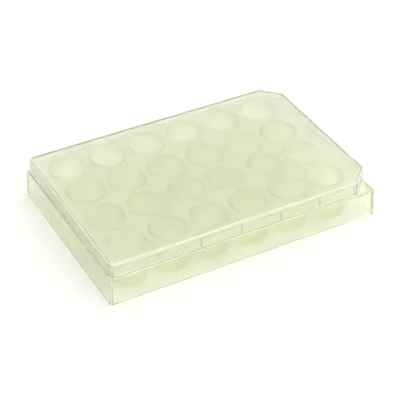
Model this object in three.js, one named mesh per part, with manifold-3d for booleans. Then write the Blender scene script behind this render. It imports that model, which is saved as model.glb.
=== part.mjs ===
// A clear well plate: round wells hanging from a deck inside a skirted frame, under a loose lid.
// Millimetres. The origin is on the table under the middle of the foot; +X runs along the long side,
// +Y along the short side and +Z up. Both +X corners of the frame and the lid are cut off square to
// the table, so the lid goes on one way round only.

import * as THREE from "three";
import { mergeVertices } from "three/addons/utils/BufferGeometryUtils.js";
import Module from "manifold-3d";

const wasm = await Module();
wasm.setup();

// Foot and skirt
const footLength = 127.76;
const footWidth = 85.48;
const footCornerRadius = 0.8;
const skirtHeight = 12.6; // table to the shoulder that the lid sits on
const skirtDraft = 0.5; // how far each side leans in over the skirt's height
const skirtWall = 1.3;
const shoulderThickness = 1.2;
const shoulderLedge = 0.57; // width of the shoulder left outside the lid

// Wells
const wellColumns = 6;
const wellRows = 4;
const wellPitch = 19.1;
const wellBlockShift = -1.9; // the wells sit nearer the uncut end
const wellMouthRadius = 7.8; // inside, at the rim
const wellFloorRadius = 7.65; // inside, at the floor
const wellWall = 0.65;
const wellFloorThickness = 1.2;
const wellFloorClearance = 1.2; // table to the underside of a well
const rimHeight = 18.0;
const wellSides = 24;

// Deck, frame wall and the ribs under the deck
const rimLip = 0.7; // how far a rim stands above the deck
const deckThickness = 1.1;
const frameWall = 1.2;
const ribThickness = 0.8;
const ribDepth = 7.0; // from the deck's top to a rib's lower edge

// Lid
const lidWall = 1.2;
const lidTopThickness = 1.2;
const lidSideClearance = 0.4; // lid to frame wall, all the way round
const lidRimClearance = 0.5; // well rims to the lid's underside
const lidCornerRadius = 3.0; // the two corners at -X
const lidCutLong = 8.6; // the two corners at +X: along the long side
const lidCutShort = 8.0; // and along the short side
const smallestRadius = 0.4;

// Heights that follow from the values above
const deckTop = rimHeight - rimLip;
const deckUnderside = deckTop - deckThickness;
const lidUnderside = rimHeight + lidRimClearance;
const lidTop = lidUnderside + lidTopThickness;
const wellFloorTop = wellFloorClearance + wellFloorThickness;

// How far each outline lies inside the lid's outer face
const lidInnerInset = lidWall;
const frameOuterInset = lidInnerInset + lidSideClearance;
const frameInnerInset = frameOuterInset + frameWall;

const overrun = 1.0; // cutting bodies run this far past the faces they cut

// Geometry helpers

function solidOf(geometry) {
  const bare = geometry.clone();
  bare.deleteAttribute("normal");
  bare.deleteAttribute("uv");
  const merged = mergeVertices(bare, 1e-4);
  const corners = merged.index.array;
  const triangles = [];
  for (let i = 0; i < corners.length; i += 3) {
    const [a, b, c] = [corners[i], corners[i + 1], corners[i + 2]];
    if (a !== b && b !== c && c !== a) triangles.push(a, b, c);
  }
  const mesh = new wasm.Mesh({
    numProp: 3,
    vertProperties: new Float32Array(merged.attributes.position.array),
    triVerts: new Uint32Array(triangles),
  });
  return new wasm.Manifold(mesh);
}

function meshOf(solid, name, material) {
  const result = solid.getMesh();
  const geometry = new THREE.BufferGeometry();
  geometry.setAttribute("position", new THREE.BufferAttribute(new Float32Array(result.vertProperties), 3));
  geometry.setIndex(new THREE.BufferAttribute(new Uint32Array(result.triVerts), 1));
  geometry.computeVertexNormals();
  const mesh = new THREE.Mesh(geometry, material);
  mesh.name = name;
  return mesh;
}

// An upright prism of an outline between two heights
function prism(shape, zLow, zHigh) {
  const settings = { depth: zHigh - zLow, bevelEnabled: false, curveSegments: 4 };
  return new THREE.ExtrudeGeometry(shape, settings).translate(0, 0, zLow);
}

// A prism whose four sides lean in by the given draft between its bottom and its top
function leaningPrism(halfX, halfY, radius, zLow, zHigh, draft) {
  const geometry = prism(roundedRectangle(halfX, halfY, radius), zLow, zHigh);
  const position = geometry.attributes.position;
  const middle = (zLow + zHigh) / 2;
  for (let i = 0; i < position.count; i += 1) {
    if (position.getZ(i) < middle) continue;
    position.setX(i, position.getX(i) * (1 - draft / halfX));
    position.setY(i, position.getY(i) * (1 - draft / halfY));
  }
  return geometry;
}

function roundedRectangle(halfX, halfY, radius) {
  const shape = new THREE.Shape();
  shape.moveTo(-halfX + radius, -halfY);
  shape.absarc(halfX - radius, -halfY + radius, radius, -Math.PI / 2, 0, false);
  shape.absarc(halfX - radius, halfY - radius, radius, 0, Math.PI / 2, false);
  shape.absarc(-halfX + radius, halfY - radius, radius, Math.PI / 2, Math.PI, false);
  shape.absarc(-halfX + radius, -halfY + radius, radius, Math.PI, Math.PI * 1.5, false);
  return shape;
}

// The outline that the lid and the frame share, moved inwards by an even distance: round corners at
// -X and cut corners at +X. The cut's two legs shrink so that its face moves in by the same distance.
function keyedOutline(inset) {
  const halfX = footLength / 2 - skirtDraft - shoulderLedge - inset;
  const halfY = footWidth / 2 - skirtDraft - shoulderLedge - inset;
  const cutFace = Math.hypot(lidCutLong, lidCutShort);
  const cutLong = lidCutLong - inset * (1 - (cutFace - lidCutLong) / lidCutShort);
  const cutShort = lidCutShort - inset * (1 - (cutFace - lidCutShort) / lidCutLong);
  const radius = Math.max(lidCornerRadius - inset, smallestRadius);
  const shape = new THREE.Shape();
  shape.moveTo(halfX - cutLong, -halfY);
  shape.lineTo(halfX, -halfY + cutShort);
  shape.lineTo(halfX, halfY - cutShort);
  shape.lineTo(halfX - cutLong, halfY);
  shape.absarc(-halfX + radius, halfY - radius, radius, Math.PI / 2, Math.PI, false);
  shape.absarc(-halfX + radius, -halfY + radius, radius, Math.PI, Math.PI * 1.5, false);
  shape.closePath();
  return shape;
}

function turned(profile) {
  const points = profile.map(([radius, height]) => new THREE.Vector2(radius, height));
  return new THREE.LatheGeometry(points, wellSides).rotateX(Math.PI / 2);
}

function block(xLow, xHigh, yLow, yHigh, zLow, zHigh) {
  const geometry = new THREE.BoxGeometry(xHigh - xLow, yHigh - yLow, zHigh - zLow);
  return geometry.translate((xLow + xHigh) / 2, (yLow + yHigh) / 2, (zLow + zHigh) / 2);
}

// Where the wells stand

const columnX = (column) => wellBlockShift + (column - (wellColumns - 1) / 2) * wellPitch;
const rowY = (row) => (row - (wellRows - 1) / 2) * wellPitch;

const wellCentres = [];
for (let row = 0; row < wellRows; row += 1) {
  for (let column = 0; column < wellColumns; column += 1) {
    wellCentres.push([columnX(column), rowY(row)]);
  }
}

// The plate, moulded in one: skirt, shoulder, frame wall, deck, ribs and wells

function skirtedFrame() {
  const halfX = footLength / 2;
  const halfY = footWidth / 2;
  const skirt = solidOf(leaningPrism(halfX, halfY, footCornerRadius, 0, skirtHeight, skirtDraft));
  const underShoulder = skirtHeight - shoulderThickness;
  const innerDraft = (skirtDraft * underShoulder) / skirtHeight;
  const hollow = solidOf(
    leaningPrism(halfX - skirtWall, halfY - skirtWall, smallestRadius, 0, underShoulder, innerDraft),
  );
  const frame = solidOf(prism(keyedOutline(frameOuterInset), underShoulder, deckTop));
  const frameHollow = solidOf(prism(keyedOutline(frameInnerInset), underShoulder - overrun, deckUnderside));
  return skirt.add(frame).subtract(hollow).subtract(frameHollow);
}

// Ribs run under the deck from each gap between two outer wells to the frame wall
function ribs() {
  const lowEdge = deckTop - ribDepth;
  const highEdge = deckTop - deckThickness / 2;
  const half = ribThickness / 2;
  const reachX = footLength / 2 - skirtDraft - shoulderLedge - frameOuterInset - frameWall / 2;
  const reachY = footWidth / 2 - skirtDraft - shoulderLedge - frameOuterInset - frameWall / 2;
  const found = [];
  for (let gap = 0; gap < wellColumns - 1; gap += 1) {
    const x = (columnX(gap) + columnX(gap + 1)) / 2;
    found.push(block(x - half, x + half, -reachY, rowY(0), lowEdge, highEdge));
    found.push(block(x - half, x + half, rowY(wellRows - 1), reachY, lowEdge, highEdge));
  }
  for (let gap = 0; gap < wellRows - 1; gap += 1) {
    const y = (rowY(gap) + rowY(gap + 1)) / 2;
    found.push(block(-reachX, columnX(0), y - half, y + half, lowEdge, highEdge));
    found.push(block(columnX(wellColumns - 1), reachX, y - half, y + half, lowEdge, highEdge));
  }
  return found.map(solidOf);
}

const wellBody = solidOf(turned([
  [0, wellFloorClearance],
  [wellFloorRadius + wellWall, wellFloorClearance],
  [wellMouthRadius + wellWall, rimHeight],
  [0, rimHeight],
]));
const wellSlope = (wellMouthRadius - wellFloorRadius) / (rimHeight - wellFloorTop);
const wellSpace = solidOf(turned([
  [0, wellFloorTop],
  [wellFloorRadius, wellFloorTop],
  [wellMouthRadius + wellSlope * overrun, rimHeight + overrun],
  [0, rimHeight + overrun],
]));

function platePiece() {
  let plate = skirtedFrame();
  for (const rib of ribs()) plate = plate.add(rib);
  for (const [x, y] of wellCentres) plate = plate.add(wellBody.translate([x, y, 0]));
  for (const [x, y] of wellCentres) plate = plate.subtract(wellSpace.translate([x, y, 0]));
  return plate;
}

// The lid, moulded in one: a flat top and a skirt that drops over the frame wall to the shoulder

function lidPiece() {
  const outside = solidOf(prism(keyedOutline(0), skirtHeight, lidTop));
  const inside = solidOf(prism(keyedOutline(lidInnerInset), skirtHeight - overrun, lidUnderside));
  return outside.subtract(inside);
}

const plateMaterial = new THREE.MeshStandardMaterial({
  name: "plate", color: 0xdfe6c4, roughness: 0.12, metalness: 0, transparent: true, opacity: 0.6,
});
const lidMaterial = new THREE.MeshStandardMaterial({
  name: "lid", color: 0xe8ecd6, roughness: 0.08, metalness: 0, transparent: true, opacity: 0.35,
});

const wellPlate = new THREE.Group();
wellPlate.add(meshOf(platePiece(), "plate", plateMaterial));
wellPlate.add(meshOf(lidPiece(), "lid", lidMaterial));

export default wellPlate;
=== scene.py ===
# A clear moulded well plate under its loose lid.
# Metres throughout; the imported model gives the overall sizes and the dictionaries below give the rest.
import math

import bmesh
import bpy
from mathutils import Matrix, Vector


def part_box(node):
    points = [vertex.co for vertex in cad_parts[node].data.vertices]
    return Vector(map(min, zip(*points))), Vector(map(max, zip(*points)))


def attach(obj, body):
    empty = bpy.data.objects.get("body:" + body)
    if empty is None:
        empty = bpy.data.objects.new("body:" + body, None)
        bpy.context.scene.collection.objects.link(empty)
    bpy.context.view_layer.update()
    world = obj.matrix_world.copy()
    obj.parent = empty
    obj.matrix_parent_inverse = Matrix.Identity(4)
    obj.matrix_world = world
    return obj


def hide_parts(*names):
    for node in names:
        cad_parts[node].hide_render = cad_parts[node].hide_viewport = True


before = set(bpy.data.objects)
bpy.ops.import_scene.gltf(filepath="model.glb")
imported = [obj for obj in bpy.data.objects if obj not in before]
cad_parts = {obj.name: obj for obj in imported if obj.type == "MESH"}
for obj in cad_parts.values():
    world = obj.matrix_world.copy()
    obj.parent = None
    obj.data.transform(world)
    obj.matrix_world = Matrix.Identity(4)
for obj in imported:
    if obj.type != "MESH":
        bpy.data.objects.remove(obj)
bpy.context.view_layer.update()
print("frame loaded")

scene = bpy.context.scene
millimetre = 0.001
nearEnough = 1e-6  # two places this close are the same place
nearlyUpright = 0.1  # a face counts as upright if its normal rises or falls by less than this
nearlyLevel = 0.99  # and as level if it does so by more than this
smoothBelow = math.radians(32)  # edges that turn by more than this stay sharp
overrun = 1.0 * millimetre  # how far a cutting block runs past the faces that it cuts

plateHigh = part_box("plate")[1]
lidLow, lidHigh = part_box("lid")
footHalf = plateHigh.xy  # half length and half width at the table
shoulderHeight = lidLow.z  # where the skirt stops and the lid rests
rimHeight = plateHigh.z
lidHalf = lidHigh.xy
lidTop = lidHigh.z


def deselectAll():
    if bpy.context.mode != "OBJECT":
        bpy.ops.object.mode_set(mode="OBJECT")
    bpy.ops.object.select_all(action="DESELECT")


def makeActive(thing):
    deselectAll()
    thing.select_set(True)
    bpy.context.view_layer.objects.active = thing


def addBlock(name, low, high):
    # a box between two corners, left in edit mode with nothing selected
    deselectAll()
    middle = (Vector(low) + Vector(high)) / 2
    bpy.ops.mesh.primitive_cube_add(size=1, location=middle, scale=Vector(high) - Vector(low))
    thing = bpy.context.object
    thing.name = name
    bpy.ops.object.transform_apply(location=True, rotation=True, scale=True)
    bpy.ops.object.mode_set(mode="EDIT")
    bpy.ops.mesh.select_all(action="DESELECT")
    return thing


def pickEdges(thing, wanted):
    # selects the edges whose two ends pass the test
    bpy.ops.mesh.select_mode(type="EDGE")
    bpy.ops.mesh.select_all(action="DESELECT")
    shape = bmesh.from_edit_mesh(thing.data)
    for edge in shape.edges:
        edge.select_set(wanted(edge.verts[0].co, edge.verts[1].co))
    bmesh.update_edit_mesh(thing.data)


def pickFaces(thing, wanted):
    # selects the faces whose middle and normal pass the test
    bpy.ops.mesh.select_mode(type="FACE")
    bpy.ops.mesh.select_all(action="DESELECT")
    shape = bmesh.from_edit_mesh(thing.data)
    for face in shape.faces:
        face.select_set(wanted(face.calc_center_median(), face.normal))
    bmesh.update_edit_mesh(thing.data)


def isUpright(a, b):
    return abs(a.x - b.x) < nearEnough and abs(a.y - b.y) < nearEnough


def atHeight(height):
    return lambda a, b: abs(a.z - height) < nearEnough and abs(b.z - height) < nearEnough


def roundEdges(thing, wanted, radius, segments):
    # bevels the edges that pass the test into a round
    pickEdges(thing, wanted)
    bpy.ops.mesh.bevel(offset=radius, segments=segments, affect="EDGES", clamp_overlap=False)


def leanIn(thing, height, draft, half):
    # scales everything at one height inwards, which gives the sides their draft
    bpy.ops.mesh.select_mode(type="VERT")
    bpy.ops.mesh.select_all(action="DESELECT")
    shape = bmesh.from_edit_mesh(thing.data)
    for vert in shape.verts:
        vert.select_set(abs(vert.co.z - height) < nearEnough)
    bmesh.update_edit_mesh(thing.data)
    factor = (1 - draft / half.x, 1 - draft / half.y, 1)
    bpy.ops.transform.resize(value=factor, center_override=(0, 0, height))


def combine(thing, other, operation):
    # joins the other solid on, or cuts it away, and removes it
    makeActive(thing)
    step = thing.modifiers.new(operation.title(), "BOOLEAN")
    step.operation = operation
    step.solver = "MANIFOLD"
    step.object = other
    bpy.ops.object.modifier_apply(modifier=step.name)
    spent = other.data
    bpy.data.objects.remove(other)
    bpy.data.meshes.remove(spent)


def joinAll(name, things):
    makeActive(things[0])
    for thing in things:
        thing.select_set(True)
    bpy.ops.object.join()
    things[0].name = name
    return things[0]


def copiedTo(thing, places, name):
    # one copy, with its own mesh, at each place
    made = []
    for place in places:
        copy = thing.copy()
        copy.data = thing.data.copy()
        copy.data.transform(Matrix.Translation(place))
        scene.collection.objects.link(copy)
        made.append(copy)
    return joinAll(name, made)


def removeThing(thing):
    spent = thing.data
    bpy.data.objects.remove(thing)
    bpy.data.meshes.remove(spent)


def clearNeedles(thing, distance):
    # dissolves the faces of no area that a cut leaves where two rounds meet
    makeActive(thing)
    bpy.ops.object.mode_set(mode="EDIT")
    bpy.ops.mesh.select_all(action="SELECT")
    bpy.ops.mesh.dissolve_degenerate(threshold=distance)
    bpy.ops.object.mode_set(mode="OBJECT")


def smoothAll(thing):
    # smooth rounds that leave the flat faces beside them optically flat
    makeActive(thing)
    bpy.ops.object.shade_smooth_by_angle(angle=smoothBelow)
    step = thing.modifiers.new("Flatten", "WEIGHTED_NORMAL")
    step.keep_sharp = True
    step.weight = 100  # the largest faces decide
    bpy.ops.object.modifier_apply(modifier=step.name)


highlightBand = 0.6 * millimetre  # how far below its upper end an edge's round gets the painted highlight


def markEdgeHighlight(thing, heights, half, reach, sideHighlight):
    # paints a highlight on the rounds that look upwards and end at these heights, on whatever lies out in
    # the corners of the outline and, less strongly, on the upright sides, as a whiter, more milky finish
    makeActive(thing)
    edgeHighlight = thing.data.attributes.new("edgeHighlight", "FLOAT", "FACE")
    for face in thing.data.polygons:
        isRound = nearlyUpright < face.normal.z < nearlyLevel
        isOuter = any(0 < height - face.center.z < highlightBand for height in heights)
        isCorner = min(abs(face.center.x) - half.x, abs(face.center.y) - half.y) > -reach
        isSide = abs(face.normal.z) < nearlyUpright
        edgeHighlight.data[face.index].value = 1 if isRound and isOuter or isCorner else sideHighlight * isSide


def markInner(thing, half):
    # marks, for a hazier finish, whatever lies within this half length and half width
    makeActive(thing)
    inner = thing.data.attributes.new("inner", "FLOAT", "FACE")
    for face in thing.data.polygons:
        isInner = abs(face.center.x) < half.x and abs(face.center.y) < half.y
        inner.data[face.index].value = 1 if isInner else 0


def turned(name, profile, steps):
    # spins an outline of (radius, height) points about the upright axis into a closed solid
    deselectAll()
    bpy.ops.mesh.primitive_plane_add(size=1)
    thing = bpy.context.object
    thing.name = name
    bpy.ops.object.mode_set(mode="EDIT")
    bpy.ops.mesh.select_all(action="SELECT")
    bpy.ops.mesh.delete(type="VERT")
    shape = bmesh.from_edit_mesh(thing.data)
    points = [shape.verts.new((radius, 0, height)) for radius, height in profile]
    for a, b in zip(points, points[1:]):
        shape.edges.new((a, b))
    bmesh.update_edit_mesh(thing.data)
    bpy.ops.mesh.select_all(action="SELECT")
    bpy.ops.mesh.spin(steps=steps, angle=math.tau, center=(0, 0, 0), axis=(0, 0, 1))
    bpy.ops.mesh.select_all(action="SELECT")
    bpy.ops.mesh.remove_doubles(threshold=nearEnough)
    bpy.ops.mesh.normals_make_consistent(inside=False)
    bpy.ops.object.mode_set(mode="OBJECT")
    return thing


def quarterRound(centre, radius, start, steps):
    # points on a quarter circle, from the start angle on, anticlockwise in the (radius, height) plane
    angles = [start + math.pi / 2 * i / steps for i in range(steps + 1)]
    return [(centre[0] + radius * math.cos(a), centre[1] + radius * math.sin(a)) for a in angles]


# the outline that the lid and the frame under it share
keyed = {
    "roundCorner": 3.0 * millimetre,  # the two corners at -X of the lid
    "cutLong": 8.6 * millimetre,  # the two cut corners at +X, along the long side
    "cutShort": 8.0 * millimetre,
    "smallestRound": 0.4 * millimetre,
    "roundSegments": 10,
}


def keyedBlock(name, inset, low, high):
    # an upright block inset from the lid's outer face by an even distance, left in edit mode
    half = lidHalf - Vector((inset, inset))
    thing = addBlock(name, (-half.x, -half.y, low), (half.x, half.y, high))
    radius = max(keyed["roundCorner"] - inset, keyed["smallestRound"])
    roundEdges(thing, lambda a, b: isUpright(a, b) and a.x < 0, radius, keyed["roundSegments"])
    normal = Vector((keyed["cutShort"], keyed["cutLong"], 0)).normalized()
    onFace = Vector((lidHalf.x - keyed["cutLong"], lidHalf.y, 0)) - normal * inset
    for side in (1, -1):
        bpy.ops.mesh.select_all(action="SELECT")
        bpy.ops.mesh.bisect(
            plane_co=(onFace.x, side * onFace.y, 0),
            plane_no=(normal.x, side * normal.y, 0),
            use_fill=True,
            clear_outer=True,
        )
    return thing


plateSizes = {
    "footCornerRound": 0.8 * millimetre,
    "skirtDraft": 0.5 * millimetre,
    "skirtWall": 1.3 * millimetre,
    "shoulderThickness": 1.2 * millimetre,
    "edgeRound": 0.25 * millimetre,
    "footEdgeRound": 0.2 * millimetre,
    "cornerSegments": 6,
    "innerCornerSegments": 4,
    "edgeSegments": 3,
    "footEdgeSegments": 2,
    "frameInset": 1.6 * millimetre,  # frame's outer face inside the lid's outer face
    "frameWall": 1.2 * millimetre,
    "deckThickness": 1.1 * millimetre,
    "rimLip": 0.7 * millimetre,
    "ribThickness": 0.8 * millimetre,
    "ribDepth": 7.0 * millimetre,
    "shortestEdge": 0.002 * millimetre,  # shorter ones are slips of a cut
    "sideHighlight": 0,  # 1 would give the sides as much painted highlight as the edges
}

wells = {
    "columns": 6,
    "rows": 4,
    "pitch": 19.1 * millimetre,
    "shift": -1.9 * millimetre,
    "mouthRadius": 7.8 * millimetre,
    "floorRadius": 7.65 * millimetre,
    "wall": 0.65 * millimetre,
    "floorThickness": 1.2 * millimetre,
    "floorClearance": 1.2 * millimetre,
    "lipShare": 0.45,  # radius of the rim's two rounds, as a share of the wall
    "lipSteps": 5,
    "floorRound": 0.5 * millimetre,  # inside, between the floor and the wall
    "floorRoundSteps": 6,
    "footRound": 0.4 * millimetre,  # outside, under the floor
    "footRoundSteps": 4,
    "steps": 80,  # round the whole circle
}


def centred(count):
    # whole steps either side of the middle: -1, 0, 1 for three
    return [i - (count - 1) / 2 for i in range(count)]


deckTop = rimHeight - plateSizes["rimLip"]
deckUnderside = deckTop - plateSizes["deckThickness"]
frameInner = plateSizes["frameInset"] + plateSizes["frameWall"]  # also from the lid's outer face
columnXs = [wells["shift"] + place * wells["pitch"] for place in centred(wells["columns"])]
rowYs = [place * wells["pitch"] for place in centred(wells["rows"])]
wellPlaces = [(x, y, 0) for y in rowYs for x in columnXs]


def skirtBlock():
    half = footHalf
    thing = addBlock("skirtBlock", (-half.x, -half.y, 0), (half.x, half.y, shoulderHeight))
    roundEdges(thing, isUpright, plateSizes["footCornerRound"], plateSizes["cornerSegments"])
    leanIn(thing, shoulderHeight, plateSizes["skirtDraft"], half)
    roundEdges(thing, atHeight(shoulderHeight), plateSizes["edgeRound"], plateSizes["edgeSegments"])
    roundEdges(thing, atHeight(0), plateSizes["footEdgeRound"], plateSizes["footEdgeSegments"])
    bpy.ops.object.mode_set(mode="OBJECT")
    return thing


def skirtSpace():
    half = footHalf - Vector((plateSizes["skirtWall"],) * 2)
    top = shoulderHeight - plateSizes["shoulderThickness"]
    thing = addBlock("skirtSpace", (-half.x, -half.y, 0), (half.x, half.y, top))
    roundEdges(thing, isUpright, keyed["smallestRound"], plateSizes["innerCornerSegments"])
    leanIn(thing, top, plateSizes["skirtDraft"] * top / shoulderHeight, half)
    pickFaces(thing, lambda middle, normal: normal.z < -nearlyLevel)
    bpy.ops.mesh.extrude_region_move(TRANSFORM_OT_translate={"value": (0, 0, -overrun)})
    bpy.ops.object.mode_set(mode="OBJECT")
    return thing


def frameBlock():
    low = shoulderHeight - plateSizes["shoulderThickness"] / 2
    thing = keyedBlock("frameBlock", plateSizes["frameInset"], low, deckTop)
    roundEdges(thing, atHeight(deckTop), plateSizes["edgeRound"], plateSizes["edgeSegments"])
    bpy.ops.object.mode_set(mode="OBJECT")
    return thing


def frameSpace():
    low = shoulderHeight - plateSizes["shoulderThickness"] - overrun
    thing = keyedBlock("frameSpace", frameInner, low, deckUnderside)
    bpy.ops.object.mode_set(mode="OBJECT")
    return thing


def ribBlocks():
    low = deckTop - plateSizes["ribDepth"]
    high = deckTop - plateSizes["deckThickness"] / 2
    half = plateSizes["ribThickness"] / 2
    reach = lidHalf - Vector((plateSizes["frameInset"] + plateSizes["frameWall"] / 2,) * 2)
    made = []
    for a, b in zip(columnXs, columnXs[1:]):
        x = (a + b) / 2
        made.append(addBlock("rib", (x - half, -reach.y, low), (x + half, rowYs[0], high)))
        made.append(addBlock("rib", (x - half, rowYs[-1], low), (x + half, reach.y, high)))
    for a, b in zip(rowYs, rowYs[1:]):
        y = (a + b) / 2
        made.append(addBlock("rib", (-reach.x, y - half, low), (columnXs[0], y + half, high)))
        made.append(addBlock("rib", (columnXs[-1], y - half, low), (reach.x, y + half, high)))
    return joinAll("ribs", made)


def wellBody():
    outer = wells["floorRadius"] + wells["wall"]
    mouth = wells["mouthRadius"] + wells["wall"]
    underside = wells["floorClearance"]
    foot = wells["footRound"]
    lip = wells["wall"] * wells["lipShare"]
    profile = [(0, underside)]
    profile += quarterRound((outer - foot, underside + foot), foot, -math.pi / 2, wells["footRoundSteps"])
    profile += quarterRound((mouth - lip, rimHeight - lip), lip, 0, wells["lipSteps"])
    profile += [(0, rimHeight)]
    return turned("wellBody", profile, wells["steps"])


def wellSpace():
    fillet = wells["floorRound"]
    floor = wells["floorClearance"] + wells["floorThickness"]
    lip = wells["wall"] * wells["lipShare"]
    slope = (wells["mouthRadius"] - wells["floorRadius"]) / (rimHeight - floor)
    profile = [(0, floor)]
    filletCentre = (wells["floorRadius"] - fillet, floor + fillet)
    profile += quarterRound(filletCentre, fillet, -math.pi / 2, wells["floorRoundSteps"])
    profile += [(wells["mouthRadius"] - slope * lip, rimHeight - lip)]
    lipCentre = (wells["mouthRadius"] + lip, rimHeight - lip)
    overLip = quarterRound(lipCentre, lip, math.pi / 2, wells["lipSteps"])
    profile += reversed(overLip[:-1])  # the wall's upper end stands for its last point
    profile += [(lipCentre[0], rimHeight + overrun), (0, rimHeight + overrun)]
    return turned("wellSpace", profile, wells["steps"])


def makePlate():
    plate = skirtBlock()
    combine(plate, frameBlock(), "UNION")
    combine(plate, skirtSpace(), "DIFFERENCE")
    combine(plate, frameSpace(), "DIFFERENCE")
    combine(plate, ribBlocks(), "UNION")
    body, space = wellBody(), wellSpace()
    combine(plate, copiedTo(body, wellPlaces, "wellBodies"), "UNION")
    combine(plate, copiedTo(space, wellPlaces, "wellSpaces"), "DIFFERENCE")
    removeThing(body)
    removeThing(space)
    plate.name = "plateMoulding"
    clearNeedles(plate, plateSizes["shortestEdge"])
    smoothAll(plate)
    cornerReach = plateSizes["footCornerRound"] + plateSizes["skirtDraft"]
    markEdgeHighlight(plate, (shoulderHeight, deckTop), footHalf, cornerReach, plateSizes["sideHighlight"])
    markInner(plate, lidHalf - Vector((frameInner, frameInner)))
    return plate


lidSizes = {
    "wall": 1.2 * millimetre,
    "topThickness": 1.2 * millimetre,
    "edgeRound": 0.6 * millimetre,
    "edgeSegments": 5,
    "restGap": 0.02 * millimetre,  # keeps the lid's edge off the shoulder
    "sideHighlight": 0.2,  # how much of the edges' painted highlight the sides get
}


def makeLid():
    low = shoulderHeight + lidSizes["restGap"]
    lid = keyedBlock("lidBlock", 0, low, lidTop)
    roundEdges(lid, atHeight(lidTop), lidSizes["edgeRound"], lidSizes["edgeSegments"])
    bpy.ops.object.mode_set(mode="OBJECT")
    space = keyedBlock("lidSpace", lidSizes["wall"], low - overrun, lidTop - lidSizes["topThickness"])
    bpy.ops.object.mode_set(mode="OBJECT")
    combine(lid, space, "DIFFERENCE")
    lid.name = "lidMoulding"
    smoothAll(lid)
    markEdgeHighlight(lid, (lidTop,), lidHalf, 0, lidSizes["sideHighlight"])
    return lid


plate = makePlate()
print("plate modelled", len(plate.data.polygons), "faces")
lid = makeLid()
print("lid modelled", len(lid.data.polygons), "faces")


plateLook = {
    "ior": 1.5,
    "paleBody": (0.985, 0.99, 0.925, 1),
    "deepBody": (0.978, 0.985, 0.90, 1),
    "clearness": (0.93, 0.96),  # the rest is milky
    "highlightClearness": 0.5,  # clear share along rounded outer edges, where a highlight is painted
    # colour of the highlight painted along the edges
    "highlightBody": (0.96, 0.965, 0.82, 1),
    "roughness": (0.245, 0.27),
    "innerHaze": 0.06,  # added to the roughness of the wells and the deck
    "tint": (0.70, 0.78, 0.20, 1),  # colour that deepens with thickness
    "density": 16,
    "ripple": 0.03 * millimetre,
}

lidLook = {
    "ior": 1.5,
    "paleBody": (0.978, 0.982, 0.92, 1),
    "deepBody": (0.97, 0.975, 0.91, 1),
    "clearness": (0.87, 0.90),
    # clear share and colour of the highlight painted along the lid's edges
    "highlightClearness": 0.4,
    "highlightBody": (0.96, 0.965, 0.82, 1),
    "roughness": (0.24, 0.268),
    "innerHaze": 0,  # no part of the lid is marked as inner
    "tint": (0.55, 0.60, 0.50, 1),
    "density": 40,
    "ripple": 0.02 * millimetre,
}

patterns = {
    "cloud": {"perMetre": 45, "detail": 3},  # uneven milkiness
    "tone": {"perMetre": 72, "detail": 2},  # uneven colour
    "flow": {"perMetre": 70, "detail": 1},  # the slow ripple of moulded faces
    "rub": {"perMetre": 900, "detail": 2},  # fine handling marks
    "usualRange": (0.35, 0.65),  # most of a noise lies between these
}


def pattern(tree, place, kind, low, high):
    # one of the noises above, spread between two values
    noise = tree.nodes.new("ShaderNodeTexNoise")
    noise.inputs["Scale"].default_value = patterns[kind]["perMetre"]
    noise.inputs["Detail"].default_value = patterns[kind]["detail"]
    spread = tree.nodes.new("ShaderNodeMapRange")
    spread.inputs["From Min"].default_value, spread.inputs["From Max"].default_value = patterns["usualRange"]
    spread.inputs["To Min"].default_value = low
    spread.inputs["To Max"].default_value = high
    tree.links.new(place.outputs["Object"], noise.inputs["Vector"])
    tree.links.new(noise.outputs["Fac"], spread.inputs["Value"])
    return spread.outputs["Result"]


def clearPlastic(name, look):
    material = bpy.data.materials.new(name)
    material.use_nodes = True
    tree = material.node_tree
    nodes, links = tree.nodes, tree.links
    shader = nodes["Principled BSDF"]
    shader.inputs["IOR"].default_value = look["ior"]
    place = nodes.new("ShaderNodeTexCoord")

    # surface haze: handling marks all over, and more of it inside
    inner = nodes.new("ShaderNodeAttribute")
    inner.attribute_name = "inner"
    haze = nodes.new("ShaderNodeMath")
    haze.operation = "MULTIPLY_ADD"
    haze.inputs[1].default_value = look["innerHaze"]
    links.new(inner.outputs["Fac"], haze.inputs[0])
    links.new(pattern(tree, place, "rub", *look["roughness"]), haze.inputs[2])
    links.new(haze.outputs["Value"], shader.inputs["Roughness"])

    # milky share and body colour, both changed along the edges to paint a highlight there
    edgeHighlight = nodes.new("ShaderNodeAttribute")
    edgeHighlight.attribute_name = "edgeHighlight"
    clear = nodes.new("ShaderNodeMix")
    clear.inputs["B"].default_value = look["highlightClearness"]
    links.new(edgeHighlight.outputs["Fac"], clear.inputs["Factor"])
    links.new(pattern(tree, place, "cloud", *look["clearness"]), clear.inputs["A"])
    links.new(clear.outputs["Result"], shader.inputs["Transmission Weight"])
    body = nodes.new("ShaderNodeMix")
    body.data_type = "RGBA"
    body.inputs["A"].default_value = look["paleBody"]
    body.inputs["B"].default_value = look["deepBody"]
    links.new(pattern(tree, place, "tone", 0, 1), body.inputs["Factor"])
    highlighted = nodes.new("ShaderNodeMix")
    highlighted.data_type = "RGBA"
    highlighted.inputs["B"].default_value = look["highlightBody"]
    links.new(edgeHighlight.outputs["Fac"], highlighted.inputs["Factor"])
    links.new(body.outputs["Result"], highlighted.inputs["A"])
    links.new(highlighted.outputs["Result"], shader.inputs["Base Color"])

    ripple = nodes.new("ShaderNodeBump")
    ripple.inputs["Distance"].default_value = look["ripple"]
    links.new(pattern(tree, place, "flow", 0, 1), ripple.inputs["Height"])
    links.new(ripple.outputs["Normal"], shader.inputs["Normal"])

    depth = nodes.new("ShaderNodeVolumeAbsorption")
    depth.inputs["Color"].default_value = look["tint"]
    depth.inputs["Density"].default_value = look["density"]
    links.new(depth.outputs["Volume"], nodes["Material Output"].inputs["Volume"])
    return material


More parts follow.
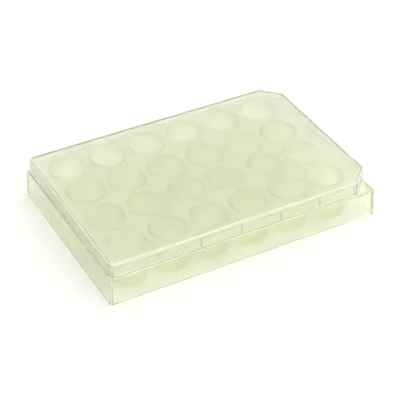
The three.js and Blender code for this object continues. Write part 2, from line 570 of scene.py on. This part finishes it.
plate.data.materials.clear()
plate.data.materials.append(clearPlastic("platePlastic", plateLook))
lid.data.materials.clear()
lid.data.materials.append(clearPlastic("lidPlastic", lidLook))

for piece, node in ((plate, "plate"), (lid, "lid")):
    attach(piece, "root")
    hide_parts(node)
print("plastic ready")


studio = {
    "floorSize": 20.0,
    "floorDrop": 0.05 * millimetre,  # keeps the foot's underside off the floor
    "floorColour": (0.97, 0.97, 0.965, 1),
    "backdrop": 1.0,  # what the camera sees past the floor's edge
    "room": 0.66,  # strength of the pale walls and ceiling
    "bounces": 128,  # enough for light to cross every wall of the wells
    # each begins to show at the first cosine of the angle from its way, and is full at the second
    "dimSide": {"way": (-0.95, -0.1, 0.0), "spread": (0.1, 0.85), "strength": 0.4},
    "window": {"way": (0.39, 0.70, 0.70), "spread": (0.6, 0.95), "strength": 1.4},
    "fill": {"way": (0.1, -0.7, 0.7), "spread": (0.5, 0.9), "strength": 1.6},
}


def makeFloor():
    deselectAll()
    bpy.ops.mesh.primitive_plane_add(size=studio["floorSize"], location=(0, 0, -studio["floorDrop"]))
    floor = bpy.context.object
    floor.name = "floor"
    material = bpy.data.materials.new("floorPaper")
    material.use_nodes = True
    shader = material.node_tree.nodes["Principled BSDF"]
    shader.inputs["Base Color"].default_value = studio["floorColour"]
    shader.inputs["Roughness"].default_value = 1
    shader.inputs["Specular IOR Level"].default_value = 0
    floor.data.materials.append(material)


def makeWorld():
    # a pale room with one dim side and two broad soft lights, each fading out towards its edge
    world = bpy.data.worlds.new("studioWorld")
    scene.world = world
    world.use_nodes = True
    tree = world.node_tree
    place = tree.nodes.new("ShaderNodeTexCoord")
    background = tree.nodes["Background"]
    background.inputs["Color"].default_value = (1, 1, 1, 1)
    strength = None
    for part in (studio["dimSide"], studio["window"], studio["fill"]):
        towards = tree.nodes.new("ShaderNodeVectorMath")
        towards.operation = "DOT_PRODUCT"
        towards.inputs[1].default_value = Vector(part["way"]).normalized()
        rise = tree.nodes.new("ShaderNodeMapRange")
        rise.interpolation_type = "SMOOTHSTEP"
        rise.inputs["From Min"].default_value, rise.inputs["From Max"].default_value = part["spread"]
        mix = tree.nodes.new("ShaderNodeMix")
        mix.inputs["B"].default_value = part["strength"]
        mix.inputs["A"].default_value = studio["room"]
        if strength:
            tree.links.new(strength, mix.inputs["A"])
        tree.links.new(place.outputs["Generated"], towards.inputs[0])
        tree.links.new(towards.outputs["Value"], rise.inputs["Value"])
        tree.links.new(rise.outputs["Result"], mix.inputs["Factor"])
        strength = mix.outputs["Result"]

    # the camera itself sees a plain backdrop
    ray = tree.nodes.new("ShaderNodeLightPath")
    seen = tree.nodes.new("ShaderNodeMix")
    seen.inputs["B"].default_value = studio["backdrop"]
    tree.links.new(ray.outputs["Is Camera Ray"], seen.inputs["Factor"])
    tree.links.new(strength, seen.inputs["A"])
    tree.links.new(seen.outputs["Result"], background.inputs["Strength"])


cameraPlace = {
    "azimuth": -29.0961,  # degrees round from the long front side, and up from the table
    "elevation": 37.1618,
    "roll": 0.46355,
    "lens": 121.41,  # focal length and sensor width, in millimetres as lenses are marked
    "sensor": 36,
    "distance": 0.5949377,  # from the origin, then sideways and upwards
    "right": 0.33975 * millimetre,
    "up": 1.51469 * millimetre,
    "clip": (0.01, 20),
}


def makeCamera():
    a = math.radians(cameraPlace["azimuth"])
    e = math.radians(cameraPlace["elevation"])
    r = math.radians(cameraPlace["roll"])
    back = Vector((math.sin(a) * math.cos(e), -math.cos(a) * math.cos(e), math.sin(e)))
    right = Vector((math.cos(a), math.sin(a), 0))
    up = back.cross(right)
    place = back * cameraPlace["distance"] + right * cameraPlace["right"] + up * cameraPlace["up"]
    tiltedRight = right * math.cos(r) + up * math.sin(r)
    tiltedUp = up * math.cos(r) - right * math.sin(r)
    data = bpy.data.cameras.new("camera")
    data.lens = cameraPlace["lens"]
    data.sensor_width = cameraPlace["sensor"]
    data.clip_start, data.clip_end = cameraPlace["clip"]
    camera = bpy.data.objects.new("camera", data)
    scene.collection.objects.link(camera)
    turn = Matrix((tiltedRight, tiltedUp, back)).transposed().to_4x4()
    camera.matrix_world = Matrix.Translation(place) @ turn
    scene.camera = camera


makeFloor()
makeWorld()
makeCamera()
print("floor, light and camera ready")

scene.view_settings.view_transform = "Standard"
scene.cycles.blur_glossy = 0  # keeps views through the plastic as bright as what lies behind
for limit in ("max_bounces", "diffuse_bounces", "glossy_bounces", "transmission_bounces"):
    setattr(scene.cycles, limit, studio["bounces"])
